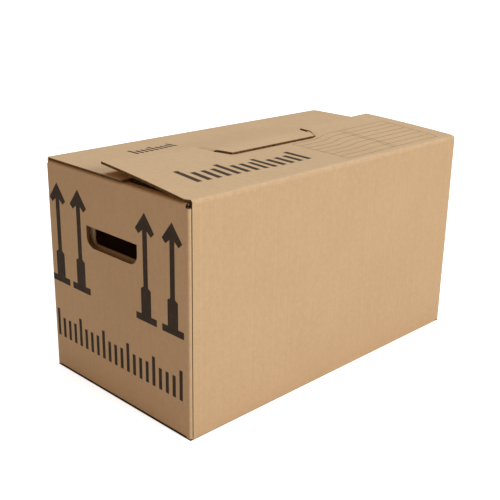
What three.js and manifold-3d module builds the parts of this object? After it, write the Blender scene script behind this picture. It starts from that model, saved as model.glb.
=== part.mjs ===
// A double-walled corrugated moving box, folded up with its lid closed.
// Millimetres, +Z up, +X along the box's length. The origin is the middle of its underside.
// The near side is -Y and the far side is +Y.

import * as THREE from 'three';
import { mergeVertices } from 'three/addons/utils/BufferGeometryUtils.js';
import Module from 'manifold-3d';

const wasm = await Module();
wasm.setup();

// The box and its board
const boxLength = 637;
const boxWidth = 340;
const boxHeight = 360;
const board = 4;
const foldRadius = 4;
const creaseRadius = 1;
const fused = 0.5;
const layerGap = 0.6;
const foldGap = 0.3;
const lidGap = 0.8;

// Doubled end walls: each end flap goes over a ledge and down inside the wall
const ledgeDepth = 16;
const endFlapLength = 194;
const cornerSlot = 7;
const cornerSlotDepth = 6;

// Hand hole through both layers of an end wall, with its cut-outs folded up as grips
const holeWidth = 124;
const holeHeight = 34;
const holeTop = 271;
const holeCorner = 18;
const holeShift = 6;
const innerHoleInset = 1;
const innerHoleCorner = 8;
const gripHeight = 32;
const gripCorner = 0.5;

// Glued corner: the end wall turns the corner and runs on as a tab behind the near wall
const cornerLip = 4;
const jointGroove = 1.6;
const jointGrooveDepth = 3.4;
const glueTab = 40;

// Bottom: end flaps inside, long flaps outside, meeting in the middle
const bottomSeam = 1;
const bottomEndFlap = 168;
const bottomTrim = 3;
const bottomCorner = 9;

// Lid flaps, relieved at the ends of their folds, and the tongue of the far one that lies on the near one
const flapOverlap = 48;
const tongueBase = 224;
const tongueTaper = 13;
const slitLength = 31;
const slitWidth = 3.4;
const tongueClearance = 0.8;
const reliefLength = 9;
const reliefWidth = 3;

// How the lid lies: heights above the box's top edge
const nearRiseLeft = 18.5;
const nearRiseRight = 14.7;
const nearRiseSlitLeft = 7;
const nearRiseSlitRight = 11;
const nearRiseMiddle = 3.5;
const nearBow = 0.3;
const nearSagInside = 22;
const nearSagOutside = 10;
const nearTrimLeft = 1;
const nearTrimRight = 12;
const tongueRise = 9;
const tongueDip = 2.2;
const swellToFold = 53;
const swellSpread = 14;
const swellFan = 1.2;

// Steps of the curved surfaces
const arcSteps = 4;
const flapStep = 32;
const slitStep = 7;

// What follows from the sizes above
const halfLength = boxLength / 2;
const halfWidth = boxWidth / 2;
const gluedEdge = cornerLip + jointGroove - halfLength;
const plainEdge = halfLength - reliefWidth;
const lidUnderside = boxHeight - board;
const ledgeTop = lidUnderside - layerGap;
const wallTop = ledgeTop - cornerSlotDepth;
const flapWidth = (boxWidth + flapOverlap) / 2;
const farFreeEdge = boxWidth - flapWidth;
const slitEnd = farFreeEdge + slitLength;
const tongueFlare = flapOverlap / 2;
const tongueTip = tongueBase - 2 * tongueTaper;
const notchBase = tongueBase / 2 + slitWidth;
const slitOutside = notchBase + tongueClearance;
const sagInside = tongueBase / 2 - nearSagInside;
const sagOutside = tongueBase / 2 + nearSagOutside;
const swellEnd = boxWidth - swellToFold;
const overcut = 5;

const cardboard = new THREE.MeshStandardMaterial({ color: 0xc29a6b, roughness: 0.9, metalness: 0 });

// Closed three.js geometry to a solid, and back
function solidOf(geometry) {
  const bare = geometry.index ? geometry.clone() : mergeVertices(geometry.clone(), 1e-5);
  bare.deleteAttribute('normal');
  bare.deleteAttribute('uv');
  const merged = mergeVertices(bare, 1e-4);
  return new wasm.Manifold(new wasm.Mesh({
    numProp: 3,
    vertProperties: new Float32Array(merged.attributes.position.array),
    triVerts: new Uint32Array(merged.index.array),
  }));
}

function geometryOf(solid) {
  const mesh = solid.getMesh();
  const geometry = new THREE.BufferGeometry();
  geometry.setAttribute('position', new THREE.BufferAttribute(new Float32Array(mesh.vertProperties), 3));
  geometry.setIndex(new THREE.BufferAttribute(new Uint32Array(mesh.triVerts), 1));
  geometry.computeVertexNormals();
  return geometry;
}

function join(solids) {
  return solids.reduce((whole, solid) => whole.add(solid));
}

// A straight block between two corners
function block([x0, y0, z0], [x1, y1, z1]) {
  const geometry = new THREE.BoxGeometry(x1 - x0, y1 - y0, z1 - z0);
  geometry.translate((x0 + x1) / 2, (y0 + y1) / 2, (z0 + z1) / 2);
  return solidOf(geometry);
}

// A flat outline raised along Z
function raised(shape, z0, z1) {
  const geometry = new THREE.ExtrudeGeometry(shape, {
    depth: z1 - z0, bevelEnabled: false, curveSegments: arcSteps,
  });
  geometry.translate(0, 0, z0);
  return solidOf(geometry);
}

// An outline drawn in X and Z, run along Y
function alongY(shape, y0, y1) {
  const geometry = new THREE.ExtrudeGeometry(shape, {
    depth: y1 - y0, bevelEnabled: false, curveSegments: arcSteps,
  });
  geometry.rotateX(Math.PI / 2);
  geometry.translate(0, y1, 0);
  return solidOf(geometry);
}

// An outline drawn in Y and Z, run along X
function alongX(shape, x0, x1) {
  const geometry = new THREE.ExtrudeGeometry(shape, {
    depth: x1 - x0, bevelEnabled: false, curveSegments: arcSteps,
  });
  geometry.rotateX(Math.PI / 2);
  geometry.rotateZ(Math.PI / 2);
  geometry.translate(x0, 0, 0);
  return solidOf(geometry);
}

function polygon(points) {
  return new THREE.Shape(points.map(([x, y]) => new THREE.Vector2(x, y)));
}

// A rectangle about the origin with round corners
function roundRectangle(width, height, radius) {
  const shape = new THREE.Shape();
  const x = width / 2 - radius;
  const y = height / 2 - radius;
  shape.absarc(x, y, radius, 0, Math.PI / 2);
  shape.absarc(-x, y, radius, Math.PI / 2, Math.PI);
  shape.absarc(-x, -y, radius, Math.PI, 1.5 * Math.PI);
  shape.absarc(x, -y, radius, 1.5 * Math.PI, 2 * Math.PI);
  return shape;
}

// A hand hole's outline: square at the top, round at the bottom
function holeOutline(width, top, height, radius) {
  const shape = new THREE.Shape();
  const y = width / 2;
  const bottom = top - height;
  shape.moveTo(holeShift + y, top);
  shape.lineTo(holeShift - y, top);
  shape.absarc(holeShift - y + radius, bottom + radius, radius, Math.PI, 1.5 * Math.PI);
  shape.absarc(holeShift + y - radius, bottom + radius, radius, 1.5 * Math.PI, 2 * Math.PI);
  return shape;
}

// The same piece at the other end of the box
function otherEnd(solid) {
  return solid.mirror([1, 0, 0]);
}

function smoothstep(value, low, high) {
  return THREE.MathUtils.smoothstep(value, low, high);
}

// Rounding of a fold: how far the outside face has dropped at a distance from the fold's edge
function foldDrop(distance) {
  const reach = foldRadius - Math.min(distance, foldRadius);
  return foldRadius - Math.sqrt(foldRadius * foldRadius - reach * reach);
}

// Height of the near flap's upper face over the box's top edge
function nearLift(x, run) {
  const out = Math.abs(x);
  const endRise = x < 0 ? nearRiseLeft : nearRiseRight;
  const slitRise = x < 0 ? nearRiseSlitLeft : nearRiseSlitRight;
  const outward = THREE.MathUtils.clamp((out - notchBase) / (halfLength - notchBase), 0, 1);
  const ear = THREE.MathUtils.lerp(slitRise, endRise, outward);
  const rise = THREE.MathUtils.lerp(nearRiseMiddle, ear, smoothstep(out, sagInside, sagOutside));
  const along = run / flapWidth;
  return rise * (along + nearBow * along * (1 - along));
}

// Height of the far flap's upper face, away from its slits: its middle is swelled up by the lock
function farSwell(x, y) {
  const back = 1 - smoothstep(y, slitEnd, swellEnd);
  const spread = swellSpread + swellFan * Math.max(0, y - slitEnd);
  const side = 1 - smoothstep(Math.abs(x), tongueBase / 2 - swellSpread / 2, tongueBase / 2 + spread);
  return tongueRise * back * side;
}

function farLift(x, y) {
  const out = Math.abs(x);
  const toTip = THREE.MathUtils.clamp((slitEnd - y) / slitLength, 0, 1);
  if (out < notchBase - slitWidth / 2) {
    return y < slitEnd ? tongueRise - tongueDip * toTip * toTip : farSwell(x, y);
  }
  const natural = farSwell(x, Math.max(y, slitEnd)) * (1 - toTip);
  const headroom = nearLift(x, Math.min(y, flapWidth)) - board - lidGap;
  return y < flapWidth + flapStep / 4 ? Math.min(natural, headroom) : natural;
}

// A sheet of board over a grid of lines. Its faces are heights at each crossing.
function sheet(xs, ys, topAt, undersideAt) {
  const positions = [];
  const index = [];
  const columns = ys.length;
  for (const height of [topAt, undersideAt]) {
    for (const x of xs) {
      for (const y of ys) positions.push(x, y, height(x, y));
    }
  }
  const layer = xs.length * columns;
  const quad = (a, b, c, d) => index.push(a, b, c, a, c, d);
  for (let i = 0; i + 1 < xs.length; i += 1) {
    for (let j = 0; j + 1 < columns; j += 1) {
      const a = i * columns + j;
      quad(a, a + columns, a + columns + 1, a + 1);
      quad(layer + a, layer + a + 1, layer + a + columns + 1, layer + a + columns);
    }
  }
  for (let i = 0; i + 1 < xs.length; i += 1) {
    const low = i * columns;
    const high = low + columns - 1;
    quad(layer + low, layer + low + columns, low + columns, low);
    quad(high, high + columns, layer + high + columns, layer + high);
  }
  const last = (xs.length - 1) * columns;
  for (let j = 0; j + 1 < columns; j += 1) {
    quad(j, j + 1, layer + j + 1, layer + j);
    quad(layer + last + j, layer + last + j + 1, last + j + 1, last + j);
  }
  const geometry = new THREE.BufferGeometry();
  geometry.setAttribute('position', new THREE.Float32BufferAttribute(positions, 3));
  geometry.setIndex(index);
  return solidOf(geometry);
}

// Evenly stepped lines from one value to another
function lines(from, to, step) {
  const count = Math.max(1, Math.round((to - from) / step));
  return Array.from({ length: count + 1 }, (_, i) => from + ((to - from) * i) / count);
}

// Lines across the length, close together where the slits are
function lengthLines() {
  const half = [
    ...lines(0, sagInside - slitStep, flapStep),
    ...lines(sagInside, tongueBase / 2, slitStep),
    notchBase - foldGap,
    slitOutside + slitWidth,
    ...lines(slitOutside + slitWidth + slitStep, slitOutside + 3 * slitStep, slitStep),
    ...lines(slitOutside + 3 * slitStep + flapStep / 2, halfLength, flapStep),
  ];
  const left = half.slice(1).map((x) => -x).reverse();
  return [...left, ...half];
}

// Lines across a fold, close together on its round edge
function foldLines() {
  return lines(0, foldRadius, foldRadius / arcSteps);
}

// The four walls, square and open at top and bottom, with folded vertical edges
function walls() {
  const outline = roundRectangle(boxLength, boxWidth, foldRadius);
  outline.holes.push(roundRectangle(boxLength - 2 * board, boxWidth - 2 * board, creaseRadius));
  return raised(outline, foldRadius / 2, wallTop);
}

// The near and far walls stand higher than the corner slots, up to the lid's folds
function wallHeads() {
  const near = block([gluedEdge, -halfWidth, wallTop - board], [plainEdge, board - halfWidth, lidUnderside - foldGap]);
  const far = block([-plainEdge, halfWidth - board, wallTop - board], [plainEdge, halfWidth, lidUnderside + fused]);
  return join([near, far]);
}

// The left end wall's upper part: up the outside, over the ledge and down inside
function doubledWall() {
  const inside = ledgeDepth - board;
  const shape = new THREE.Shape();
  const foot = ledgeTop - (endFlapLength - ledgeDepth);
  const base = wallTop - board;
  shape.moveTo(0, base);
  shape.lineTo(board, base);
  shape.absarc(board + creaseRadius, ledgeTop - board - creaseRadius, creaseRadius, Math.PI, Math.PI / 2, true);
  shape.absarc(inside - creaseRadius, ledgeTop - board - creaseRadius, creaseRadius, Math.PI / 2, 0, true);
  shape.lineTo(inside, foot);
  shape.lineTo(ledgeDepth, foot);
  shape.absarc(ledgeDepth - foldRadius, ledgeTop - foldRadius, foldRadius, 0, Math.PI / 2);
  shape.absarc(foldRadius, ledgeTop - foldRadius, foldRadius, Math.PI / 2, Math.PI);
  const flap = alongY(shape, cornerSlot - halfWidth, halfWidth - cornerSlot);
  return flap.translate([-halfLength, 0, 0]);
}

// The cut-outs of both layers, folded up flat behind their holes
function grips() {
  const outer = holeOutline(holeWidth, holeTop + gripHeight, gripHeight, gripCorner);
  const innerWidth = holeWidth - 2 * innerHoleInset;
  const innerHeight = gripHeight - innerHoleInset;
  const inner = holeOutline(innerWidth, holeTop + innerHeight, innerHeight, gripCorner);
  const behindWall = alongX(outer, board - fused - halfLength, 2 * board - halfLength);
  const behindFlap = alongX(inner, ledgeDepth - fused - halfLength, ledgeDepth + board - halfLength);
  return join([behindWall, behindFlap]);
}

function handHoles() {
  const outer = holeOutline(holeWidth, holeTop, holeHeight, holeCorner);
  const innerWidth = holeWidth - 2 * innerHoleInset;
  const inner = holeOutline(innerWidth, holeTop, holeHeight - innerHoleInset, innerHoleCorner);
  const between = ledgeDepth / 2 - halfLength;
  return join([
    alongX(outer, -halfLength - overcut, between),
    alongX(inner, between, ledgeDepth + 2 * board - halfLength),
  ]);
}

// The bottom: the long flaps outside, cut back at their ends, and the end flaps on top of them
function bottom() {
  const outerLength = boxLength - 2 * bottomTrim;
  const long = raised(roundRectangle(outerLength, boxWidth, bottomCorner), 0, board);
  const seam = block([-halfLength, -bottomSeam / 2, -overcut], [halfLength, bottomSeam / 2, board]);
  const reach = halfWidth - board / 2;
  const end = block([board / 2 - halfLength, -reach, board / 2], [bottomEndFlap - halfLength, reach, 2 * board]);
  const sill = block(
    [-halfLength, bottomCorner - halfWidth, foldRadius / 2],
    [board - halfLength, halfWidth - bottomCorner, board],
  );
  const floor = join([long, end, otherEnd(end)]);
  return { floor, cuts: join([seam.subtract(join([end, otherEnd(end)])), sill.subtract(floor)]) };
}

// The glued corner: a tab behind the near wall, and the groove in front of it
function glueJoint() {
  const back = board - halfWidth;
  const tab = block([board / 2 - halfLength, back - fused, board], [glueTab - halfLength, back + board, wallTop]);
  const left = cornerLip - halfLength;
  const groove = block(
    [left, -halfWidth - overcut, board],
    [left + jointGroove, jointGrooveDepth - halfWidth, boxHeight],
  );
  return { tab, groove };
}

// A cut through a lid flap, drawn from above
function lidCut(shape) {
  return raised(shape, lidUnderside - overcut, boxHeight + 2 * nearRiseLeft);
}

// The relief cut at the left end of a lid fold, from the fold's edge to some distance in from it
function relief(edge, inward, right) {
  return lidCut(polygon([
    [-halfLength - overcut, edge - inward * overcut],
    [right, edge - inward * overcut],
    [right, edge + inward * foldRadius],
    [-halfLength, edge + inward * reliefLength],
    [-halfLength - overcut, edge + inward * reliefLength],
  ]));
}

// The far lid flap, fixed on its wall, with the tongue between two slits
function farFlap() {
  const ys = [
    ...lines(farFreeEdge, slitEnd, slitLength / 4),
    ...lines(slitEnd + slitStep, swellEnd, flapStep / 2),
    boxWidth - foldRadius - flapStep,
    ...foldLines().map((d) => boxWidth - foldRadius + d),
  ];
  const top = (x, y) => boxHeight + farLift(x, y) - foldDrop(boxWidth - y);
  const underside = (x, y) => lidUnderside + farLift(x, y);
  const flap = sheet(lengthLines(), ys, top, underside);
  const slit = polygon([
    [tongueTip / 2, farFreeEdge],
    [tongueTip / 2, farFreeEdge - overcut],
    [slitOutside, farFreeEdge - overcut],
    [slitOutside, slitEnd],
    [tongueBase / 2 + tongueClearance, slitEnd],
    [tongueBase / 2, farFreeEdge + tongueFlare],
  ]);
  const cut = join([lidCut(slit), otherEnd(relief(boxWidth, -1, -plainEdge))]);
  return flap.subtract(join([cut, otherEnd(cut)])).translate([0, -halfWidth, 0]);
}

// The near lid flap, which lies on the far one and stops short of its tongue
function nearFlap() {
  const ys = [
    ...foldLines(),
    ...lines(foldRadius + flapStep / 2, farFreeEdge, flapStep),
    ...lines(farFreeEdge + slitStep, flapWidth, slitLength / 4),
  ];
  const top = (x, y) => boxHeight + nearLift(x, y) - foldDrop(y);
  const underside = (x, y) => lidUnderside + nearLift(x, y);
  const flap = sheet(lengthLines(), ys, top, underside);
  const notch = polygon([
    [-tongueTip / 2 - slitWidth, farFreeEdge - foldGap],
    [tongueTip / 2 + slitWidth, farFreeEdge - foldGap],
    [notchBase, farFreeEdge + tongueFlare],
    [notchBase, flapWidth + overcut],
    [-notchBase, flapWidth + overcut],
    [-notchBase, farFreeEdge + tongueFlare],
  ]);
  const trimLeft = polygon([
    [-halfLength, foldRadius],
    [nearTrimLeft - halfLength, flapWidth + overcut],
    [-halfLength - overcut, flapWidth + overcut],
    [-halfLength - overcut, foldRadius],
  ]);
  const trimRight = polygon([
    [halfLength, foldRadius],
    [halfLength + overcut, foldRadius],
    [halfLength + overcut, flapWidth + overcut],
    [halfLength - nearTrimRight, flapWidth + overcut],
  ]);
  const cuts = join([
    ...[notch, trimLeft, trimRight].map(lidCut),
    relief(0, 1, gluedEdge),
    otherEnd(relief(0, 1, -plainEdge)),
  ]);
  return flap.subtract(cuts).translate([0, -halfWidth, 0]);
}

// The folded sheet itself, with everything but the near lid flap
function carton() {
  const { tab, groove } = glueJoint();
  const { floor, cuts } = bottom();
  const end = join([doubledWall(), grips()]);
  const holes = handHoles();
  return join([walls(), wallHeads(), end, otherEnd(end), tab, farFlap()])
    .subtract(join([groove, holes, otherEnd(holes)]))
    .add(floor)
    .subtract(cuts);
}

function piece(name, solid) {
  const mesh = new THREE.Mesh(geometryOf(solid), cardboard.clone());
  mesh.name = name;
  return mesh;
}

const box = new THREE.Group();
box.add(piece('carton_body', carton()));
box.add(piece('near_lid_flap', nearFlap()));

export default box;
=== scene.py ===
"""Dresses the corrugated moving box: kraft board, cut edges with their flutes, print, light and camera."""

from __future__ import annotations

import logging
import math
from abc import ABC, abstractmethod
from dataclasses import dataclass, field
from enum import Enum
from typing import Callable, Iterable, Sequence

import bmesh
import bpy
from mathutils import Matrix, Vector
from mathutils.bvhtree import BVHTree


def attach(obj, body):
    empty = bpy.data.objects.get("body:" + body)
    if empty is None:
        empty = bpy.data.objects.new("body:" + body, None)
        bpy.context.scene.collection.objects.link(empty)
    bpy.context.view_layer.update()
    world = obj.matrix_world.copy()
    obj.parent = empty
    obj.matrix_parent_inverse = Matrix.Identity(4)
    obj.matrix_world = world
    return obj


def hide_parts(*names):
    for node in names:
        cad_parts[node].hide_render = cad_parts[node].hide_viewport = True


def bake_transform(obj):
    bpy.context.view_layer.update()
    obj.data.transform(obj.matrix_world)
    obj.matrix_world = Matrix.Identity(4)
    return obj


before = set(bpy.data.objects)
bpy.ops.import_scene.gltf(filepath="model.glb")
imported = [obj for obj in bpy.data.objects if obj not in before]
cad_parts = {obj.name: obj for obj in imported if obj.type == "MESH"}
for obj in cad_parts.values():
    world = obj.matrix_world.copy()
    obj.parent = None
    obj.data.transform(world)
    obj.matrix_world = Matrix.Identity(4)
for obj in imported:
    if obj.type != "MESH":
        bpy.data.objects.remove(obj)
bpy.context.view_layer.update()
LOG = logging.getLogger("moving_box")

MM = 0.001
BOARD = 4 * MM
Point = tuple[float, float, float]
Outline = list[tuple[float, float]]
TOUCH = 0.1 * MM
FOLD_ANGLE = 32
STRIP_ANGLE = 40
PAPER_ANGLE = 60
ON_EDGE = 0.35
ALONG_WALL = 0.3
MOSTLY_UP = 0.7
HEAD_ON = 0.9
MOSTLY_ALONG = 0.6


class Body(Enum):
    """The two moving bodies of the box."""

    CARTON = "carton"
    NEAR_FLAP = "near_flap"


class Skin(Enum):
    """The finishes of a dressed board's faces, by material slot."""

    LINER = 0
    # painted shade: cut faces between the paper layers, the corner groove, slots and relief cuts
    GAP_SHADE = 1
    # bare paper, pale with painted light, at the inner hand holes
    RAW_LIT = 2


class Shade:
    """A shader socket that takes part in sums."""

    def __init__(self, maker: Shader, socket: bpy.types.NodeSocket) -> None:
        """Wraps a socket of the maker's tree."""
        self.maker = maker
        self.socket = socket

    def __add__(self, other: Shade | float) -> Shade:
        """Adds."""
        return self.maker.math("ADD", self, other)

    def __sub__(self, other: Shade | float) -> Shade:
        """Subtracts."""
        return self.maker.math("SUBTRACT", self, other)

    def __rsub__(self, other: float) -> Shade:
        """Subtracts this from a number."""
        return self.maker.math("SUBTRACT", other, self)

    def __mul__(self, other: Shade | float) -> Shade:
        """Multiplies."""
        return self.maker.math("MULTIPLY", self, other)

    def __abs__(self) -> Shade:
        """Takes the size without the sign."""
        return self.maker.math("ABSOLUTE", self)

    __radd__ = __add__
    __rmul__ = __mul__


class Shader:
    """Makes one material's node tree around a Principled BSDF."""

    def __init__(self, name: str) -> None:
        """Starts a material.

        Args:
            name: the material's name.
        """
        self.material = bpy.data.materials.new(name)
        self.material.use_nodes = True
        self.tree = self.material.node_tree
        self.surface = self.tree.nodes["Principled BSDF"]

    def node(
        self,
        kind: str,
        settings: dict | None = None,
        inputs: dict | None = None,
        output: int | str = 0,
    ) -> Shade:
        """Adds a node.

        Args:
            kind: the node's type.
            settings: its properties, set before its sockets.
            inputs: values or shades by socket name or number.
            output: the output to return.

        Returns:
            The node's output.
        """
        made = self.tree.nodes.new(kind)
        for key, value in (settings or {}).items():
            setattr(made, key, value)
        for key, value in (inputs or {}).items():
            self.feed(made.inputs[key], value)
        return Shade(self, made.outputs[output])

    def feed(self, socket: bpy.types.NodeSocket, value: object) -> None:
        """Links a shade to a socket, or sets its plain value.

        Args:
            socket: the input socket.
            value: a shade, or a plain value.
        """
        if isinstance(value, Shade):
            self.tree.links.new(value.socket, socket)
        else:
            socket.default_value = value

    def math(self, operation: str, *terms: Shade | float) -> Shade:
        """Adds a Math node over one or two terms."""
        return self.node("ShaderNodeMath", {"operation": operation}, dict(enumerate(terms)))

    def mask(self, value: Shade, low: float, high: float) -> Shade:
        """Goes smoothly from 0 at low to 1 at high."""
        settings = {"interpolation_type": "SMOOTHSTEP"}
        return self.node("ShaderNodeMapRange", settings, {0: value, 1: low, 2: high, 3: 0.0, 4: 1.0})

    def mix(self, factor: Shade | float, first: object, second: object) -> Shade:
        """Mixes two colours."""
        inputs = {0: factor, 6: first, 7: second}
        return self.node("ShaderNodeMix", {"data_type": "RGBA"}, inputs, 2)

    def noise(self, place: Shade, scale: float, detail: float = 3.0, rough: float = 0.55) -> Shade:
        """Adds a noise over a place."""
        inputs = {"Vector": place, "Scale": scale, "Detail": detail, "Roughness": rough}
        return self.node("ShaderNodeTexNoise", {}, inputs, "Fac")

    def parts(self, place: Shade) -> tuple[Shade, Shade, Shade]:
        """Splits a vector into its three parts."""
        outputs = self.node("ShaderNodeSeparateXYZ", {}, {0: place}).socket.node.outputs
        return tuple(Shade(self, output) for output in outputs)

    def stretched(self, place: Shade, scale: Point, turn: Point = (0.0, 0.0, 0.0)) -> Shade:
        """Stretches a place by a factor along each axis and turns it."""
        return self.node("ShaderNodeMapping", {}, {"Vector": place, "Scale": scale, "Rotation": turn})

    def colour(self, value: Shade | Sequence[float]) -> None:
        """Sets the base colour."""
        self.feed(self.surface.inputs["Base Color"], value)

    def rough(self, value: Shade | float) -> None:
        """Sets the roughness."""
        self.feed(self.surface.inputs["Roughness"], value)

    def bump(self, height: Shade, distance: float, strength: float = 1.0) -> None:
        """Feeds a height in units of distance to the normal."""
        inputs = {"Strength": strength, "Distance": distance, "Height": height}
        self.feed(self.surface.inputs["Normal"], self.node("ShaderNodeBump", {}, inputs, "Normal"))


def rgba(red: float, green: float, blue: float) -> tuple[float, float, float, float]:
    """Gives an opaque linear colour."""
    return (red, green, blue, 1.0)


@dataclass(frozen=True)
class KraftBoard:
    """The brown liner on both sides of the board, with its flutes showing faintly through."""

    name: str = "kraft_board"
    pale: tuple = rgba(0.615, 0.405, 0.226)
    brown: tuple = rgba(0.555, 0.360, 0.196)
    fibre: tuple = rgba(0.36, 0.220, 0.112)
    # Paler tone of scuffed folds and corners, which also paints the highlight on these edges.
    worn_and_lit: tuple = rgba(0.70, 0.50, 0.31)
    wear_and_highlight: float = 0.0
    flute_pitch: float = 6.4 * MM
    cloud_scale: float = 9.0
    mottle_scale: float = 120.0
    streak_scale: float = 190.0
    grain_scale: float = 330.0
    fibre_scale: float = 700.0
    fibre_share: float = 0.35
    corner_wear_and_highlight: float = 0.7
    corner_length: tuple = (0.3150, 0.3180)
    corner_width: tuple = (0.1668, 0.1694)
    roughness: float = 0.82
    rough_swing: float = 0.14
    relief: float = 0.1 * MM
    shine: float = 0.15

    def material(self) -> bpy.types.Material:
        """Builds the material.

        Returns:
            The material.
        """
        shader = Shader(self.name)
        place = shader.node("ShaderNodeTexCoord", output="Object")
        facing = shader.node("ShaderNodeTexCoord", output="Normal")
        x, y, _ = shader.parts(place)
        across = self.across(shader, x, y, facing)
        streaks = self.streaks(shader, across)
        turned = shader.stretched(place, (1.0, 1.0, 1.0), (0.6, 0.4, 0.9))
        cloud = shader.noise(turned, self.cloud_scale, 2.0, 0.5)
        mottle = shader.noise(turned, self.mottle_scale, 3.0, 0.6)
        grain = shader.noise(turned, self.grain_scale, 2.0, 0.6)
        tone = cloud * 0.2 + streaks * 0.2 + mottle * 0.3 + grain * 0.3
        base = shader.mix(shader.mask(tone, 0.36, 0.66), self.brown, self.pale)
        dusted = shader.mix(self.fibres(shader, place), base, self.fibre)
        # Vertical corners go paler in patches: partly scuffing, partly a painted highlight on the rounded
        # edges; the fold liner goes paler all over the same way.
        corner = shader.mask(abs(x), *self.corner_length) * shader.mask(abs(y), *self.corner_width)
        patches = shader.mask(mottle, 0.35, 0.62) * 0.5 + 0.35
        worn_and_lit = shader.math("MAXIMUM", corner * self.corner_wear_and_highlight, self.wear_and_highlight) * patches
        shader.colour(shader.mix(worn_and_lit, dusted, self.worn_and_lit))
        shader.rough(self.roughness + grain * self.rough_swing)
        wave = shader.math("SINE", across * (2 * math.pi / self.flute_pitch))
        shader.bump(wave * 0.3 + streaks * 0.5 + mottle * 0.8 + grain * 0.3, self.relief, 0.6)
        shader.surface.inputs["Specular IOR Level"].default_value = self.shine
        return shader.material

    def fibres(self, shader: Shader, place: Shade) -> Shade:
        """Gives the dark fibres that show here and there in the liner.

        Args:
            shader: the material's maker.
            place: the object coordinates.

        Returns:
            The share of the fibres' colour.
        """
        drawn_out = shader.stretched(place, (1.0, 1.0, 0.25), (0.2, 0.3, 0.1))
        spots = shader.noise(drawn_out, self.fibre_scale, 2.0, 0.5)
        return shader.mask(spots, 0.64, 0.76) * self.fibre_share

    def across(self, shader: Shader, x: Shade, y: Shade, facing: Shade) -> Shade:
        """Gives the distance across the flutes: along the width on the end walls, else along the length."""
        end = shader.mask(abs(shader.parts(facing)[0]), 0.6, 0.8)
        return x * (1.0 - end) + y * end

    def streaks(self, shader: Shader, across: Shade) -> Shade:
        """Gives the uneven lines that run along the flutes."""
        inputs = {"W": across, "Scale": self.streak_scale, "Detail": 3.0, "Roughness": 0.7}
        return shader.node("ShaderNodeTexNoise", {"noise_dimensions": "1D"}, inputs, "Fac")


@dataclass(frozen=True)
class CutPaper:
    """The bare paper of a cut edge, patchy between a light and a dark tone; its copies also give the
    painted shade in the cut edges' hollows and recesses, and the painted light at the inner hand holes.
    """

    name: str
    light: tuple
    dark: tuple
    patch_scale: float = 160.0
    roughness: float = 0.92
    relief: float = 0.1 * MM
    shine: float = 0.15

    def material(self) -> bpy.types.Material:
        """Builds the material.

        Returns:
            The material.
        """
        shader = Shader(self.name)
        place = shader.node("ShaderNodeTexCoord", output="Object")
        patch = shader.noise(place, self.patch_scale, 4.0, 0.65)
        shader.colour(shader.mix(shader.mask(patch, 0.3, 0.7), self.dark, self.light))
        shader.rough(self.roughness)
        shader.bump(patch, self.relief, 0.5)
        shader.surface.inputs["Specular IOR Level"].default_value = self.shine
        return shader.material


@dataclass(frozen=True)
class BoxInk:
    """The dark brown print, a little thin where the liner's fibres stand up."""

    name: str = "print_ink"
    full: tuple = rgba(0.043, 0.029, 0.019)
    thin: tuple = rgba(0.088, 0.058, 0.036)
    patch_scale: float = 90.0
    fibre_scale: float = 900.0
    roughness: float = 0.7
    relief: float = 0.06 * MM
    shine: float = 0.08

    def material(self) -> bpy.types.Material:
        """Builds the material.

        Returns:
            The material.
        """
        shader = Shader(self.name)
        place = shader.node("ShaderNodeTexCoord", output="Object")
        patch = shader.noise(place, self.patch_scale, 3.0, 0.6)
        fibres = shader.noise(place, self.fibre_scale, 2.0, 0.6)
        thin = shader.mask(patch * 0.5 + fibres * 0.5, 0.45, 0.75)
        shader.colour(shader.mix(thin, self.full, self.thin))
        shader.rough(self.roughness)
        shader.bump(fibres, self.relief, 0.5)
        shader.surface.inputs["Specular IOR Level"].default_value = self.shine
        return shader.material


@dataclass(frozen=True)
class StudioFloor:
    """White floor that shows the camera a white ground, dark with a painted contact shadow only right under
    the box.
    """

    white: tuple = rgba(0.9, 0.9, 0.9)
    # painted contact shadow: the floor's colour right under the box
    under: tuple = rgba(0.03, 0.02, 0.015)
    roughness: float = 0.95
    lift: float = 0.62
    far_lift: float = 0.5
    near_reach: float = 0.7
    far_reach: float = 2.0
    half_length: float = 318.5 * MM
    half_width: float = 170 * MM

    def material(self) -> bpy.types.Material:
        """Builds the material.

        Returns:
            The material.
        """
        shader = Shader("studio_floor")
        x, y, _ = shader.parts(shader.node("ShaderNodeTexCoord", output="Object"))
        # Painted contact shadow: under the box the floor's colour turns dark and its glow goes out, fading
        # over 1 mm on each side of the walls.
        outside_x = shader.mask(abs(x), self.half_length - MM, self.half_length + MM)
        outside_y = shader.mask(abs(y), self.half_width - MM, self.half_width + MM)
        outside_painted_shadow = shader.math("MAXIMUM", outside_x, outside_y)
        shader.colour(shader.mix(outside_painted_shadow, self.under, self.white))
        shader.rough(self.roughness)
        shader.surface.inputs["Specular IOR Level"].default_value = 0.0
        away = shader.mask(shader.math("SQRT", x * x + y * y), self.near_reach, self.far_reach)
        strength = self.seen(shader) * outside_painted_shadow * (away * self.far_lift + self.lift)
        glow = shader.node("ShaderNodeEmission", {}, {"Strength": strength})
        surface = Shade(shader, shader.surface.outputs[0])
        total = shader.node("ShaderNodeAddShader", {}, {0: surface, 1: glow})
        shader.feed(shader.tree.nodes["Material Output"].inputs["Surface"], total)
        return shader.material

    def seen(self, shader: Shader) -> Shade:
        """Tells the rays that show the floor as a background from those that light the box.

        Args:
            shader: the floor's material.

        Returns:
            1 for the first and 0 for the others.
        """
        path = shader.node("ShaderNodeLightPath").socket.node.outputs
        names = ("Is Camera Ray", "Is Glossy Ray", "Is Transmission Ray")
        camera, glossy, through = (Shade(shader, path[name]) for name in names)
        return shader.math("MAXIMUM", shader.math("MAXIMUM", camera, glossy), through)


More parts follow.
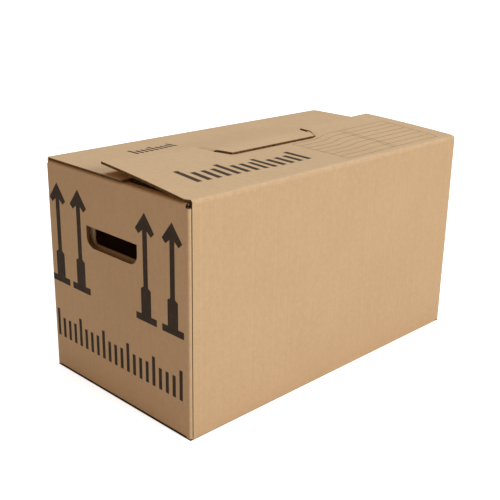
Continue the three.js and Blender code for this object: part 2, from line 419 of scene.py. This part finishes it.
class Finishes:
    """All the finishes of the box, made once."""

    def __init__(self) -> None:
        """Builds every material."""
        self.board = KraftBoard().material()
        # The fold liner is paler all over: partly scuffing, partly a painted highlight along the wall's top
        # fold.
        self.fold = KraftBoard("fold_liner", wear_and_highlight=0.35).material()
        # Painted shade: near-black colour on the cut faces between the paper layers and in the board's
        # recesses.
        self.gap = self.cut("cut_gap_shade", (0.092, 0.044, 0.014), (0.038, 0.017, 0.006))
        # Painted light: the inner hand holes' cut edges are paler than the liner, for the light that falls
        # on them.
        self.raw_lit = self.cut("cut_raw_lit", (0.80, 0.56, 0.33), (0.62, 0.42, 0.24))
        self.paper = self.cut("cut_paper", (0.34, 0.19, 0.075), (0.18, 0.095, 0.034))
        self.ink = BoxInk().material()
        self.lid_ink = self.print_ink("lid_ink", (0.062, 0.041, 0.027), (0.115, 0.076, 0.050))
        self.line_ink = self.print_ink("line_ink", (0.25, 0.155, 0.088), (0.34, 0.22, 0.128))

    @staticmethod
    def cut(name: str, light: Point, dark: Point) -> bpy.types.Material:
        """Gives the paper of a kind of cut edge."""
        return CutPaper(name, rgba(*light), rgba(*dark)).material()

    @staticmethod
    def print_ink(name: str, full: Point, thin: Point) -> bpy.types.Material:
        """Gives an ink of its own tone."""
        return BoxInk(name, rgba(*full), rgba(*thin)).material()


def new_object(name: str, mesh: bpy.types.Mesh) -> bpy.types.Object:
    """Puts a mesh into the scene as an object at the origin.

    Args:
        name: the object's name.
        mesh: its mesh.

    Returns:
        The object.
    """
    made = bpy.data.objects.new(name, mesh)
    bpy.context.scene.collection.objects.link(made)
    return made


def face_tree(node: str) -> BVHTree:
    """Gives a CAD node's faces for ray casting."""
    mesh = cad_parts[node].data
    return BVHTree.FromPolygons([v.co for v in mesh.vertices], [list(p.vertices) for p in mesh.polygons])


def smooth_faces(mesh: bpy.types.Mesh, angle: float) -> None:
    """Shades a mesh smooth, with edges sharper than an angle in degrees kept sharp."""
    mesh.polygons.foreach_set("use_smooth", [True] * len(mesh.polygons))
    mesh.set_sharp_from_angle(angle=math.radians(angle))


@dataclass(frozen=True)
class CutLine:
    """Mid-board lines along cut edges that the paper layers are run along."""

    shape: bpy.types.Object | None
    waved: bool
    across: Vector


@dataclass(frozen=True)
class Rim:
    """Cut edges at some heights that share a thickness direction and a flute direction."""

    low: float
    high: float
    across: Vector
    crossing: int

    def holds(self, middle: Vector, way: Vector, waved: bool) -> bool:
        """Says whether an edge is one of these.

        Args:
            middle: the edge's middle.
            way: its direction.
            waved: whether edges that cross the flutes are wanted, or those that run along them.

        Returns:
            True for one of the wanted edges.
        """
        return self.low < middle.z < self.high and (abs(way[self.crossing]) > MOSTLY_ALONG) == waved


class BoardPiece(ABC):
    """A folded piece of board: a dressed copy of a CAD node with the paper layers at its cut edges."""

    node: str
    body: Body
    rims: tuple[Rim, ...]
    merge_reach = 0.002 * MM
    least_edge = 0.001 * MM

    def __init__(self, finishes: Finishes, edges: CutEdges) -> None:
        """Copies the CAD node and merges its loose triangles.

        Args:
            finishes: the materials.
            edges: the maker of the paper layers.
        """
        self.finishes = finishes
        self.edges = edges
        self.work = bmesh.new()
        self.work.from_mesh(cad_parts[self.node].data)
        bmesh.ops.remove_doubles(self.work, verts=self.work.verts, dist=self.merge_reach)
        bmesh.ops.dissolve_degenerate(self.work, edges=self.work.edges, dist=self.least_edge)
        self.cut = self.chosen(self.is_cut)
        self.front = self.chosen(self.is_front) - self.cut
        # Cut faces and recesses get painted shade, and painted light at the inner hand holes.
        self.dark = self.chosen(self.is_painted_shade) | self.cut

    @abstractmethod
    def is_cut(self, middle: Vector, normal: Vector) -> bool:
        """Says whether a face with this middle and normal is a cut edge of the board."""

    @abstractmethod
    def is_front(self, middle: Vector, normal: Vector) -> bool:
        """Says whether a face is the side from which a cut edge's layers are counted."""

    @abstractmethod
    def is_painted_shade(self, middle: Vector, normal: Vector) -> bool:
        """Says whether a face is darkened with painted shade without showing the board's layers."""

    def is_raw_lit(self, middle: Vector) -> bool:
        """Says whether a cut edge is crushed flat, so that it shows its paper and no gaps, pale with
        painted light.
        """
        return False

    def skin(self, face: bmesh.types.BMFace) -> Skin:
        """Chooses a face's finish.

        Args:
            face: the face.

        Returns:
            Its finish.
        """
        if face not in self.dark:
            return Skin.LINER
        return Skin.RAW_LIT if self.is_raw_lit(face.calc_center_median()) else Skin.GAP_SHADE

    def chosen(self, test: Callable[[Vector, Vector], bool]) -> set[bmesh.types.BMFace]:
        """Gives the faces that pass a test of middle and normal."""
        return {face for face in self.work.faces if test(face.calc_center_median(), face.normal)}

    def dressed(self) -> bpy.types.Object:
        """Makes the shown copy of the board, its cut faces and recesses dark with painted shade, and pale
        with painted light at the inner hand holes.

        Returns:
            The shown board, which replaces the CAD node.
        """
        name = f"{self.node}_board"
        for face in self.work.faces:
            face.material_index = self.skin(face).value
        mesh = bpy.data.meshes.new(name)
        self.work.to_mesh(mesh)
        for finish in (self.finishes.board, self.finishes.gap, self.finishes.raw_lit):
            mesh.materials.append(finish)
        smooth_faces(mesh, FOLD_ANGLE)
        made = new_object(name, mesh)
        weighted = made.modifiers.new("flat_faces_first", "WEIGHTED_NORMAL")
        weighted.keep_sharp = True
        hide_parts(self.node)
        return made

    def lines(self, rim: Rim, waved: bool) -> bpy.types.Object | None:
        """Makes the mid-board lines of a rim's cut edges as bare mesh edges.

        Args:
            rim: the rim.
            waved: whether to take the edges that cross the flutes or the others.

        Returns:
            The object, or None where there are no such edges.
        """
        places: dict[int, int] = {}
        points: list[Vector] = []
        pairs: list[tuple[int, int]] = []
        for edge in self.work.edges:
            fronts = [face for face in edge.link_faces if face in self.front]
            cuts = [face for face in edge.link_faces if face in self.cut]
            layered = [face for face in cuts if self.skin(face) is Skin.GAP_SHADE]
            if len(fronts) != 1 or not layered:
                continue
            first, last = edge.verts
            if not rim.holds((first.co + last.co) / 2, (last.co - first.co).normalized(), waved):
                continue
            inward = -self.axis(fronts[0].normal) * (BOARD / 2)
            for vert in (first, last):
                if vert.index not in places:
                    places[vert.index] = len(points)
                    points.append(vert.co + inward)
            pairs.append((places[first.index], places[last.index]))
        if not pairs:
            return None
        mesh = bpy.data.meshes.new("cut_lines")
        mesh.from_pydata(points, pairs, [])
        return new_object("cut_lines", mesh)

    @staticmethod
    def axis(normal: Vector) -> Vector:
        """Gives the row axis nearest to a normal.

        Args:
            normal: the normal.

        Returns:
            The axis, with the sign of the normal along it.
        """
        size = [abs(part) for part in normal]
        best = size.index(max(size))
        return Vector([math.copysign(1.0, normal[i]) if i == best else 0.0 for i in range(3)])

    def build(self) -> list[bpy.types.Object]:
        """Makes the dressed board and its cut edges, and puts both on their body.

        Returns:
            The board and its cut edges.
        """
        lines = []
        for rim in self.rims:
            lines += [CutLine(self.lines(rim, waved), waved, rim.across) for waved in (True, False)]
        pieces = [self.dressed(), self.edges.build(f"{self.node}_cut_edges", lines)]
        self.work.free()
        for piece in pieces:
            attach(piece, self.body.value)
        return pieces


class WireTree:
    """A Geometry Nodes tree that runs one paper layer, straight or fluted, along a line."""

    def __init__(self) -> None:
        """Builds the tree and its named inputs."""
        self.tree = bpy.data.node_groups.new("paper_layer", "GeometryNodeTree")
        face = self.tree.interface
        face.new_socket("Geometry", in_out="INPUT", socket_type="NodeSocketGeometry")
        kinds = dict.fromkeys(("Pitch", "Swing", "Level", "Step", "Thickness"), "NodeSocketFloat")
        kinds["Across"] = "NodeSocketVector"
        kinds["Paper"] = "NodeSocketMaterial"
        self.sockets = {}
        for name, kind in kinds.items():
            self.sockets[name] = face.new_socket(name, in_out="INPUT", socket_type=kind).identifier
        face.new_socket("Geometry", in_out="OUTPUT", socket_type="NodeSocketGeometry")
        self.build()

    def add(self, kind: str, settings: dict | None = None, inputs: dict | None = None) -> bpy.types.Node:
        """Adds a node, its settings first and then its sockets.

        Args:
            kind: the node's type.
            settings: its properties.
            inputs: sockets or plain values by socket name or number.

        Returns:
            The node.
        """
        made = self.tree.nodes.new(kind)
        for key, value in (settings or {}).items():
            setattr(made, key, value)
        for key, value in (inputs or {}).items():
            if isinstance(value, bpy.types.NodeSocket):
                self.tree.links.new(value, made.inputs[key])
            else:
                made.inputs[key].default_value = value
        return made

    def wave(self, given: bpy.types.bpy_prop_collection) -> bpy.types.NodeSocket:
        """Gives each point's offset across the board: the layer's level plus its wave.

        Args:
            given: the tree's inputs.

        Returns:
            The offset.
        """
        run = self.add("GeometryNodeSplineParameter").outputs["Length"]
        turns = self.add("ShaderNodeMath", {"operation": "DIVIDE"}, {0: run, 1: given["Pitch"]})
        angle = self.add("ShaderNodeMath", {"operation": "MULTIPLY"}, {0: turns.outputs[0], 1: 2 * math.pi})
        sine = self.add("ShaderNodeMath", {"operation": "SINE"}, {0: angle.outputs[0]})
        swing = {0: sine.outputs[0], 1: given["Swing"], 2: given["Level"]}
        height = self.add("ShaderNodeMath", {"operation": "MULTIPLY_ADD"}, swing)
        scaled = {0: given["Across"], "Scale": height.outputs[0]}
        return self.add("ShaderNodeVectorMath", {"operation": "SCALE"}, scaled).outputs[0]

    def build(self) -> None:
        """Joins the nodes: line, even steps, wave, thickness, material."""
        given = self.add("NodeGroupInput").outputs
        line = self.add("GeometryNodeMeshToCurve", {}, {0: given["Geometry"]})
        step = {"Curve": line.outputs[0], "Length": given["Step"]}
        steps = self.add("GeometryNodeResampleCurve", {"mode": "LENGTH"}, step)
        place = {"Geometry": steps.outputs[0], "Offset": self.wave(given)}
        moved = self.add("GeometryNodeSetPosition", {}, place)
        size = {"Resolution": 4, "Radius": given["Thickness"]}
        ring = self.add("GeometryNodeCurvePrimitiveCircle", {}, size)
        swept = {0: moved.outputs[0], 1: ring.outputs[0], "Fill Caps": True}
        paper = self.add("GeometryNodeCurveToMesh", {}, swept)
        real = self.add("GeometryNodeRealizeInstances", {}, {0: paper.outputs[0]})
        dressed = {"Geometry": real.outputs[0], "Material": given["Paper"]}
        last = self.add("GeometryNodeSetMaterial", {}, dressed)
        self.tree.links.new(last.outputs[0], self.add("NodeGroupOutput").inputs[0])

    def run(self, line: bpy.types.Object, values: dict[str, object]) -> bpy.types.Mesh:
        """Gives the tree's result on a line as a plain mesh.

        Args:
            line: the object with the bare edges.
            values: the tree's inputs by name.

        Returns:
            The mesh.
        """
        modifier = line.modifiers.new("paper_layer", "NODES")
        modifier.node_group = self.tree
        for name, value in values.items():
            modifier[self.sockets[name]] = value
        view = bpy.context.evaluated_depsgraph_get()
        view.update()
        result = bpy.data.meshes.new_from_object(line.evaluated_get(view))
        line.modifiers.remove(modifier)
        return result


@dataclass(frozen=True)
class Layer:
    """One paper layer in the board's section. A flat liner has no swing."""

    level: float
    swing: float
    pitch: float
    step: float
    thickness: float


@dataclass
class CutEdges:
    """The layers of double-wall board that show at its cut edges."""

    finishes: Finishes
    liner: float = 0.26 * MM
    medium: float = 0.17 * MM
    middle_liner: float = 0.208 * MM
    middle_level: float = 0.55 * MM
    fine_pitch: float = 3.3 * MM
    fine_step: float = 0.55 * MM
    coarse_pitch: float = 6.4 * MM
    coarse_step: float = 0.8 * MM
    straight_step: float = 5 * MM
    layers: list[Layer] = field(init=False)

    def __post_init__(self) -> None:
        """Works out the section: fine flute over coarse flute between three liners."""
        self.tree = WireTree()
        outside = BOARD / 2 - self.liner
        middle = self.middle_level
        fine = (outside - middle) / 2
        coarse = (outside + middle) / 2
        self.layers = [
            Layer(outside, 0.0, 1.0, self.straight_step, self.liner),
            Layer(middle, 0.0, 1.0, self.straight_step, self.middle_liner),
            Layer(-outside, 0.0, 1.0, self.straight_step, self.liner),
            Layer(middle + fine, fine, self.fine_pitch, self.fine_step, self.medium),
            Layer(middle - coarse, coarse, self.coarse_pitch, self.coarse_step, self.medium),
        ]

    def build(self, name: str, lines: Iterable[CutLine]) -> bpy.types.Object:
        """Makes all layers along some lines and joins them.

        Args:
            name: the piece's name.
            lines: the lines.

        Returns:
            The joined piece.
        """
        work = bmesh.new()
        for line in lines:
            if line.shape is None:
                continue
            for layer in self.layers:
                values = {
                    "Pitch": layer.pitch,
                    "Swing": layer.swing if line.waved else 0.0,
                    "Level": layer.level,
                    "Step": layer.step if line.waved else self.straight_step,
                    "Thickness": layer.thickness,
                    "Across": line.across,
                    "Paper": self.finishes.paper,
                }
                mesh = self.tree.run(line.shape, values)
                work.from_mesh(mesh)
                bpy.data.meshes.remove(mesh)
            bpy.data.objects.remove(line.shape)
        mesh = bpy.data.meshes.new(name)
        work.to_mesh(mesh)
        work.free()
        mesh.materials.append(self.finishes.paper)
        smooth_faces(mesh, PAPER_ANGLE)
        return new_object(name, mesh)


class CartonBody(BoardPiece):
    """The folded sheet: walls, doubled ends with hand holes, bottom and far lid flap."""

    node = "carton_body"
    body = Body.CARTON
    half_length = 318.5 * MM
    ledge = 16 * MM
    lid_underside = 356 * MM
    fold_line = 165 * MM
    slot_foot = 349 * MM
    slot_inside = 312.5 * MM
    slot_reach = 162 * MM
    slot_end = 0.95
    groove = (-314.6 * MM, -312.8 * MM)
    groove_floor = -166 * MM
    near_face = -169.95 * MM
    hole = (-57.5 * MM, 69.5 * MM, 236.5 * MM, 271.5 * MM)
    inner_foot = 30 * MM
    inner_head = 345 * MM
    rims = (
        Rim(lid_underside, 1.0, Vector((0, 0, 1)), 0),
        Rim(2 * BOARD, lid_underside, Vector((1, 0, 0)), 1),
        Rim(BOARD + TOUCH, 2 * BOARD + TOUCH, Vector((0, 0, 1)), 1),
        Rim(-BOARD, BOARD + TOUCH, Vector((0, 0, 1)), 0),
    )

    def is_cut(self, middle: Vector, normal: Vector) -> bool:
        """Says whether a face with this middle and normal is a cut edge of the board.

        Args:
            middle: the face's middle.
            normal: the face's normal.

        Returns:
            True for such a face.
        """
        out = abs(middle.x)
        if self.is_painted_shade(middle, normal):
            return False
        if middle.z > self.lid_underside:
            return abs(normal.z) < ON_EDGE and middle.y < self.fold_line
        if out > self.half_length - BOARD - 2 * TOUCH:
            low, high, foot, top = self.hole
            in_hole = low < middle.y < high and foot < middle.z < top and abs(normal.x) < ALONG_WALL
            in_seam = middle.z < BOARD and abs(normal.x) > HEAD_ON and out < self.half_length - MM
            return in_hole or in_seam
        if self.is_raw_lit(middle):
            return abs(normal.x) < ALONG_WALL
        in_flap = out < self.half_length / 2 and BOARD < middle.z < 2 * BOARD
        return in_flap and abs(normal.x) > HEAD_ON

    def is_front(self, middle: Vector, normal: Vector) -> bool:
        """Says whether a face is the side from which a cut edge's layers are counted.

        Args:
            middle: the face's middle.
            normal: the face's normal.

        Returns:
            True for such a face.
        """
        if middle.z > self.lid_underside:
            return normal.z > MOSTLY_UP
        outward = normal.x * math.copysign(1.0, middle.x)
        inside = self.half_length - abs(middle.x)
        if inside < 2 * TOUCH:
            return outward > HEAD_ON
        doubled = self.ledge - 2 * TOUCH < inside < self.ledge + BOARD + 2 * TOUCH
        if doubled and middle.z > self.inner_foot:
            return outward < -HEAD_ON
        if middle.z < TOUCH:
            return normal.z < -HEAD_ON
        return normal.z > HEAD_ON and middle.z < 2 * BOARD + TOUCH

    def is_raw_lit(self, middle: Vector) -> bool:
        """Says whether a face lies at the hand hole of an inner layer, whose cut edge is pale with painted
        light.

        Args:
            middle: the face's middle.

        Returns:
            True for such a face.
        """
        inside = self.half_length - abs(middle.x)
        in_layer = abs(inside - self.ledge) < BOARD + TOUCH
        return in_layer and self.inner_foot < middle.z < self.inner_head

    def is_painted_shade(self, middle: Vector, normal: Vector) -> bool:
        """Says whether a face lies in the glued corner's groove or in a corner slot under the lid, darkened
        there with painted shade.

        Args:
            middle: the face's middle.
            normal: the face's normal.

        Returns:
            True for such a face.
        """
        left, right = self.groove
        if left < middle.x < right and middle.y < self.groove_floor and middle.z > BOARD:
            return middle.y > self.near_face
        in_corner = abs(middle.x) > self.slot_inside and abs(middle.y) > self.slot_reach
        in_slot = self.slot_foot < middle.z < self.lid_underside - TOUCH
        return in_corner and in_slot and abs(normal.x) < self.slot_end


class NearLidFlap(BoardPiece):
    """The lid flap that swings on the near wall's fold."""

    node = "near_lid_flap"
    body = Body.NEAR_FLAP
    fold_face = -167.5 * MM
    relief = -160.5 * MM
    rims = (Rim(-1.0, 1.0, Vector((0, 0, 1)), 0),)

    def is_cut(self, middle: Vector, normal: Vector) -> bool:
        """Says whether a face with this middle and normal is a cut edge of the board."""
        on_edge = abs(normal.z) < ON_EDGE and middle.y > self.fold_face
        return on_edge and not self.is_painted_shade(middle, normal)

    def is_front(self, middle: Vector, normal: Vector) -> bool:
        """Says whether a face is the side from which a cut edge's layers are counted."""
        return normal.z > MOSTLY_UP

    def is_painted_shade(self, middle: Vector, normal: Vector) -> bool:
        """Says whether a face is one of the relief cuts at the ends of the fold, darkened with painted
        shade.
        """
        on_edge = abs(normal.z) < ON_EDGE and abs(normal.x) > ALONG_WALL
        return on_edge and middle.y < self.relief


@dataclass
class FoldLiner:
    """The outer paper that carries the near lid flap: it bends over the wall's top edge."""

    finishes: Finishes
    reach: float = 312.6 * MM
    wall_face: float = -170 * MM
    radius: float = 4 * MM
    lift: float = 0.12 * MM
    thickness: float = 0.08 * MM
    foot: float = 353.5 * MM
    bend_foot: float = 356 * MM
    flap_end: float = -163 * MM
    turns: int = 6
    step: float = 8 * MM

    def section(self, top: BVHTree, x: float) -> list[Vector]:
        """Gives the strip's closed section at one place along the box.

        Args:
            top: the near flap's faces.
            x: the place along the box.

        Returns:
            The outer line, then the inner line back.
        """
        radius = self.radius + self.lift
        centre = self.wall_face + self.radius
        line = [(Vector((x, self.wall_face - self.lift, self.foot)), Vector((0, -1, 0)))]
        for i in range(self.turns + 1):
            angle = math.pi / 2 * i / self.turns
            out = Vector((0, -math.cos(angle), math.sin(angle)))
            line.append((Vector((x, centre, self.bend_foot)) + out * radius, out))
        hit = top.ray_cast(Vector((x, self.flap_end, 1.0)), Vector((0, 0, -1)))[0]
        line.append((Vector((x, self.flap_end, hit.z + self.lift)), Vector((0, 0, 1))))
        outer = [point for point, _ in line]
        inner = [point - out * self.thickness for point, out in reversed(line)]
        return outer + inner

    def build(self) -> list[bpy.types.Object]:
        """Makes the strip.

        Returns:
            The strip, alone in a list.
        """
        top = face_tree("near_lid_flap")
        work = bmesh.new()
        count = math.ceil(2 * self.reach / self.step)
        previous = None
        for i in range(count + 1):
            section = self.section(top, -self.reach + 2 * self.reach * i / count)
            ring = [work.verts.new(point) for point in section]
            if previous:
                for j in range(len(ring)):
                    k = (j + 1) % len(ring)
                    work.faces.new((previous[j], previous[k], ring[k], ring[j]))
            if i in (0, count):
                work.faces.new(ring)
            previous = ring
        bmesh.ops.recalc_face_normals(work, faces=work.faces)
        strip = bpy.data.meshes.new("lid_fold_liner")
        work.to_mesh(strip)
        work.free()
        # Its paler material paints a highlight along the fold, besides scuffing.
        strip.materials.append(self.finishes.fold)
        smooth_faces(strip, STRIP_ANGLE)
        made = new_object("lid_fold_liner", strip)
        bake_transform(made)
        return [made]


@dataclass
class Arrow:
    """The common this-way-up arrow: barbed head, thin shaft, thick foot and base bar."""

    tip: float = 323 * MM
    barb_out: float = 296.3 * MM
    barb_foot: float = 289.5 * MM
    notch: float = 296.5 * MM
    shoulder: float = 211 * MM
    foot_top: float = 207 * MM
    bar_top: float = 167 * MM
    bar_foot: float = 156 * MM
    head_half: float = 21.6 * MM
    barb_half: float = 14 * MM
    shaft_half: float = 5.2 * MM
    foot_half: float = 11.3 * MM
    bar_half: float = 23.7 * MM

    def outline(self, centre: float) -> Outline:
        """Gives the outline about a centre line.

        Args:
            centre: the centre line.

        Returns:
            The outline, counter-clockwise from the tip.
        """
        right = [
            (0.0, self.tip),
            (self.head_half, self.barb_out),
            (self.barb_half, self.barb_foot),
            (self.shaft_half, self.notch),
            (self.shaft_half, self.shoulder),
            (self.foot_half, self.foot_top),
            (self.foot_half, self.bar_top),
            (self.bar_half, self.bar_top),
            (self.bar_half, self.bar_foot),
        ]
        left = [(-half, height) for half, height in reversed(right[1:])]
        return [(centre + half, height) for half, height in right + left]


@dataclass(frozen=True)
class Bar:
    """A plain upright bar."""

    middle: float
    foot: float
    width: float
    height: float

    def draw(self, work: bmesh.types.BMesh) -> None:
        """Adds the bar's face, flat in X and Y.

        Args:
            work: the mesh that gets the face.
        """
        left = self.middle - self.width / 2
        right = self.middle + self.width / 2
        top = self.foot + self.height
        self.face(work, [(left, self.foot), (right, self.foot), (right, top), (left, top)])

    @staticmethod
    def face(work: bmesh.types.BMesh, outline: Outline) -> None:
        """Adds one flat face."""
        work.faces.new([work.verts.new((u, v, 0.0)) for u, v in outline]).normal_update()


@dataclass(frozen=True)
class Line:
    """A straight printed line."""

    start: tuple[float, float]
    end: tuple[float, float]
    width: float

    def draw(self, work: bmesh.types.BMesh) -> None:
        """Adds the line's face, flat in X and Y.

        Args:
            work: the mesh that gets the face.
        """
        half = self.width / 2
        low = (min(self.start[0], self.end[0]) - half, min(self.start[1], self.end[1]) - half)
        high = (max(self.start[0], self.end[0]) + half, max(self.start[1], self.end[1]) + half)
        Bar.face(work, [low, (high[0], low[1]), high, (low[0], high[1])])


@dataclass(frozen=True)
class BarRow:
    """A row of upright bars, every few of them taller, in the place of a printed word."""

    start: float
    end: float
    foot: float
    height: float
    stroke: float
    count: int
    low: float = 0.72
    tall_every: int = 4

    def bars(self) -> list[Bar]:
        """Gives the row's bars.

        Returns:
            The bars, from the row's start on.
        """
        made = []
        for i in range(self.count):
            middle = self.start + (self.end - self.start) * (i + 0.5) / self.count
            height = self.height if i % self.tall_every == 0 else self.height * self.low
            made.append(Bar(middle, self.foot, self.stroke, height))
        return made


@dataclass(frozen=True)
class Film:
    """A film of ink: its name, finish, body and the way it faces."""

    name: str
    ink: bpy.types.Material
    body: Body
    out: Vector

    def finish(self, work: bmesh.types.BMesh, thickness: float) -> bpy.types.Object:
        """Turns the faces outwards, gives them the film's thickness and puts them on the body.

        Args:
            work: the flat faces, lying on the board.
            thickness: the film's thickness.

        Returns:
            The film.
        """
        work.normal_update()
        wrong = [f for f in work.faces if f.normal.dot(self.out) < 0]
        bmesh.ops.reverse_faces(work, faces=wrong)
        mesh = bpy.data.meshes.new(self.name)
        work.to_mesh(mesh)
        work.free()
        mesh.materials.append(self.ink)
        made = new_object(self.name, mesh)
        solid = made.modifiers.new("film", "SOLIDIFY")
        solid.thickness = thickness
        solid.offset = -1.0
        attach(made, self.body.value)
        return made


@dataclass
class Print:
    """Print on the box: thin films of ink that lie on the board."""

    finishes: Finishes
    film: float = 0.05 * MM
    lift: float = 0.12 * MM
    grid: float = 8 * MM
    arrow_centres: tuple = (-134 * MM, -74.5 * MM, 87.8 * MM, 143.6 * MM)
    end_face: float = 318.5 * MM
    table: tuple = (32 * MM, 282 * MM, -154 * MM, -33 * MM)
    table_gap: float = 8 * MM
    table_line: float = 1.0 * MM
    table_rows: int = 7
    end_row: BarRow = BarRow(-158 * MM, 166 * MM, 58 * MM, 48 * MM, 7 * MM, 21)
    near_row: BarRow = BarRow(-262 * MM, -10 * MM, -118 * MM, 54 * MM, 9.5 * MM, 13)
    far_row: BarRow = BarRow(-204 * MM, -114 * MM, 88 * MM, 28 * MM, 5 * MM, 9)

    def end_wall(self, side: float) -> bpy.types.Object:
        """Prints one end wall.

        Args:
            side: -1 for the left end and 1 for the right end.

        Returns:
            The film of ink.
        """
        work = bmesh.new()
        for centre in self.arrow_centres:
            Bar.face(work, Arrow().outline(centre))
        for bar in self.end_row.bars():
            bar.draw(work)
        bmesh.ops.triangulate(work, faces=work.faces)
        place = side * (self.end_face + self.lift)
        for vert in work.verts:
            vert.co = Vector((place, -side * vert.co.x, vert.co.y))
        name = "left_end_print" if side < 0 else "right_end_print"
        film = Film(name, self.finishes.ink, Body.CARTON, Vector((side, 0, 0)))
        return film.finish(work, self.film)

    def lid(self, board: type[BoardPiece], film: Film, marks: Iterable[Bar | Line]) -> bpy.types.Object:
        """Prints marks on a lid flap, lying on its curved face.

        Args:
            board: the piece of board that holds the flap.
            film: the film of ink to make.
            marks: the marks, drawn in X and Y.

        Returns:
            The film of ink.
        """
        tree = face_tree(board.node)
        work = bmesh.new()
        for mark in marks:
            mark.draw(work)
        self.cut_up(work)
        for vert in work.verts:
            hit = tree.ray_cast(Vector((vert.co.x, vert.co.y, 1.0)), Vector((0, 0, -1)))[0]
            vert.co.z = hit.z + self.lift
        return film.finish(work, self.film)

    def cut_up(self, work: bmesh.types.BMesh) -> None:
        """Cuts flat faces along a fine grid, so that they can follow a curved flap.

        Args:
            work: the faces.
        """
        for axis in (0, 1):
            places = [vert.co[axis] for vert in work.verts]
            step = math.floor(min(places) / self.grid) + 1
            while step * self.grid < max(places):
                plane = [0.0, 0.0, 0.0]
                normal = [0.0, 0.0, 0.0]
                plane[axis] = step * self.grid
                normal[axis] = 1.0
                geometry = work.verts[:] + work.edges[:] + work.faces[:]
                bmesh.ops.bisect_plane(work, geom=geometry, plane_co=plane, plane_no=normal, dist=1e-6)
                step += 1

    def table_lines(self) -> list[Line]:
        """Gives the thin lines of the empty contents table on the near flap.

        Returns:
            The rows, then the columns.
        """
        low, high, near, far = self.table
        middle = (low + high) / 2
        columns = [low, middle - self.table_gap / 2, middle + self.table_gap / 2, high]
        rows = [near + (far - near) * i / self.table_rows for i in range(self.table_rows + 1)]
        lines = [Line((low, y), (high, y), self.table_line) for y in rows]
        lines += [Line((x, near), (x, far), self.table_line) for x in columns]
        return lines

    def build(self) -> list[bpy.types.Object]:
        """Prints the whole box.

        Returns:
            All films of ink.
        """
        up = Vector((0, 0, 1))
        near = Film("near_flap_print", self.finishes.lid_ink, Body.NEAR_FLAP, up)
        far = Film("far_flap_print", self.finishes.lid_ink, Body.CARTON, up)
        table = Film("contents_table", self.finishes.line_ink, Body.NEAR_FLAP, up)
        return [
            self.end_wall(-1.0),
            self.end_wall(1.0),
            self.lid(NearLidFlap, near, self.near_row.bars()),
            self.lid(CartonBody, far, self.far_row.bars()),
            self.lid(NearLidFlap, table, self.table_lines()),
        ]


@dataclass(frozen=True)
class Lamp:
    """A soft square lamp, aimed at a point."""

    name: str
    place: Point
    aim: Point
    power: float
    size: float
    tint: Point

    def hang(self) -> None:
        """Adds the lamp to the scene."""
        data = bpy.data.lights.new(self.name, "AREA")
        data.energy = self.power
        data.size = self.size
        data.color = self.tint
        made = bpy.data.objects.new(self.name, data)
        bpy.context.scene.collection.objects.link(made)
        made.location = self.place
        way = Vector(self.aim) - Vector(self.place)
        made.rotation_euler = way.to_track_quat("-Z", "Y").to_euler()


@dataclass
class Studio:
    """Floor, light and camera."""

    camera_place: Point = (-1.0380, -0.9936, 0.6776)
    heading: float = 45.378
    dip: float = 19.363
    roll: float = 1.019
    lens: float = 62.49
    sensor: float = 36.0
    nearest: float = 0.05
    world_light: float = 0.33
    world_tint: Point = (1.0, 0.70, 0.46)
    world_shown: float = 2.4
    floor_reach: float = 12.0
    lamps: tuple = (
        Lamp("key", (0.15, -4.3, 2.2), (0.0, 0.0, 0.2), 136.0, 1.6, (0.86, 0.94, 1.0)),
        Lamp("top", (0.2, 0.3, 2.6), (0.0, 0.0, 0.3), 48.0, 2.0, (0.60, 0.80, 1.0)),
    )

    def camera(self) -> None:
        """Puts the camera where the photograph was taken from."""
        heading, dip, roll = (math.radians(a) for a in (self.heading, self.dip, self.roll))
        level = Vector((math.sin(heading), math.cos(heading), 0.0))
        forward = level * math.cos(dip) - Vector((0.0, 0.0, math.sin(dip)))
        right = forward.cross(Vector((0, 0, 1))).normalized()
        up = right.cross(forward)
        turned = right * math.cos(roll) + up * math.sin(roll)
        raised = up * math.cos(roll) - right * math.sin(roll)
        data = bpy.data.cameras.new("camera")
        data.lens = self.lens
        data.sensor_width = self.sensor
        data.clip_start = self.nearest
        made = bpy.data.objects.new("camera", data)
        bpy.context.scene.collection.objects.link(made)
        turn = Matrix((turned, raised, -forward)).transposed().to_4x4()
        made.matrix_world = Matrix.Translation(Vector(self.camera_place)) @ turn
        bpy.context.scene.camera = made

    def world(self) -> None:
        """Gives even light, and white to the camera."""
        world = bpy.data.worlds.new("studio")
        bpy.context.scene.world = world
        world.use_nodes = True
        tree = world.node_tree
        light = tree.nodes["Background"]
        light.inputs["Color"].default_value = rgba(*self.world_tint)
        path = tree.nodes.new("ShaderNodeLightPath")
        choose = tree.nodes.new("ShaderNodeMix")
        choose.inputs[2].default_value = self.world_light
        choose.inputs[3].default_value = self.world_shown
        tree.links.new(path.outputs["Is Camera Ray"], choose.inputs[0])
        tree.links.new(choose.outputs[0], light.inputs["Strength"])

    def floor(self) -> None:
        """Lays the white floor."""
        work = bmesh.new()
        bmesh.ops.create_grid(work, x_segments=1, y_segments=1, size=self.floor_reach)
        mesh = bpy.data.meshes.new("studio_floor")
        work.to_mesh(mesh)
        work.free()
        mesh.materials.append(StudioFloor().material())
        made = new_object("studio_floor", mesh)

    def build(self) -> None:
        """Sets up the studio."""
        self.camera()
        self.world()
        self.floor()
        for lamp in self.lamps:
            lamp.hang()
        bpy.context.scene.view_settings.view_transform = "Standard"


def main() -> None:
    """Builds the studio and every piece of the box."""
    logging.basicConfig(level=logging.INFO, format="%(name)s: %(message)s")
    Studio().build()
    finishes = Finishes()
    edges = CutEdges(finishes)
    boards = [CartonBody(finishes, edges), NearLidFlap(finishes, edges)]
    builders = [*boards, FoldLiner(finishes), Print(finishes)]
    for builder in builders:
        for piece in builder.build():
            LOG.info("%s: %d faces", piece.name, len(piece.data.polygons))


if __name__ == "__main__":
    main()
